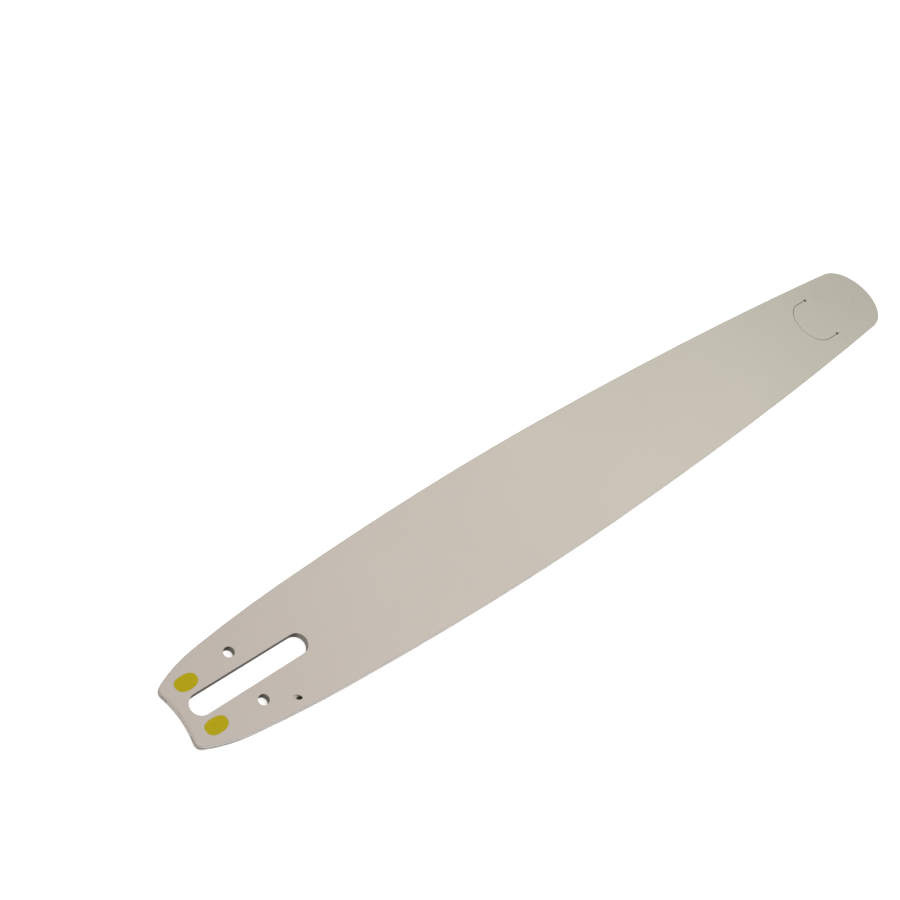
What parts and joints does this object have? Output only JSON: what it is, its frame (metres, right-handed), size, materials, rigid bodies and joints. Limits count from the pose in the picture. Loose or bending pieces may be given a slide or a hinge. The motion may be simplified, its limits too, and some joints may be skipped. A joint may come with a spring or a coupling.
{
  "type": "chainsaw guide bar",
  "caption": "Long flat chainsaw guide bar with a grooved edge, a rear clamping slot, tensioner and oil holes, and a riveted nose holding a turning sprocket.",
  "frame": {"origin": "middle of the bar's footprint, on its lower face", "axes": "+X from the tail to the nose, +Y across the bar, +Z the plate's normal, up"},
  "size_m": [0.7, 0.0818, 0.0047],
  "materials": {
    "painted_plate": "satin silver-grey paint over ground steel",
    "hardened_steel": "hardened steel, lightly oiled",
    "sintered_insert": "sintered metal",
    "yellow_mark": "satin yellow marking paint"
  },
  "bodies": {
    "bar": {"bar_body": "painted_plate", "nose_plate_top": "painted_plate", "nose_plate_bottom": "painted_plate", "bearing_race": "hardened_steel", "bearing_rivets": "painted_plate", "nose_rivets": "painted_plate", "oil_dam_left": "sintered_insert", "oil_dam_right": "sintered_insert"},
    "sprocket": {"nose_sprocket": "hardened_steel"},
    "roller_ring": {"roller_01": "hardened_steel", "roller_02": "hardened_steel", "roller_03": "hardened_steel", "roller_04": "hardened_steel", "roller_05": "hardened_steel", "roller_06": "hardened_steel", "roller_07": "hardened_steel", "roller_08": "hardened_steel", "roller_09": "hardened_steel", "roller_10": "hardened_steel", "roller_11": "hardened_steel", "roller_12": "hardened_steel", "roller_13": "hardened_steel", "roller_14": "hardened_steel", "roller_15": "hardened_steel", "roller_16": "hardened_steel"}
  },
  "joints": [
    {"name": "sprocket_spin", "type": "hinge", "parent": "bar", "child": "sprocket", "pos_m": [0.32, 0, 0.00235], "axis": [0, 0, 1], "continuous": true},
    {"name": "roller_orbit", "type": "hinge", "parent": "bar", "child": "roller_ring", "pos_m": [0.32, 0, 0.00235], "axis": [0, 0, 1], "continuous": true}
  ],
  "couplings": [
    {"joint": "roller_orbit", "follows": "sprocket_spin", "ratio": 0.5941}
  ]
}
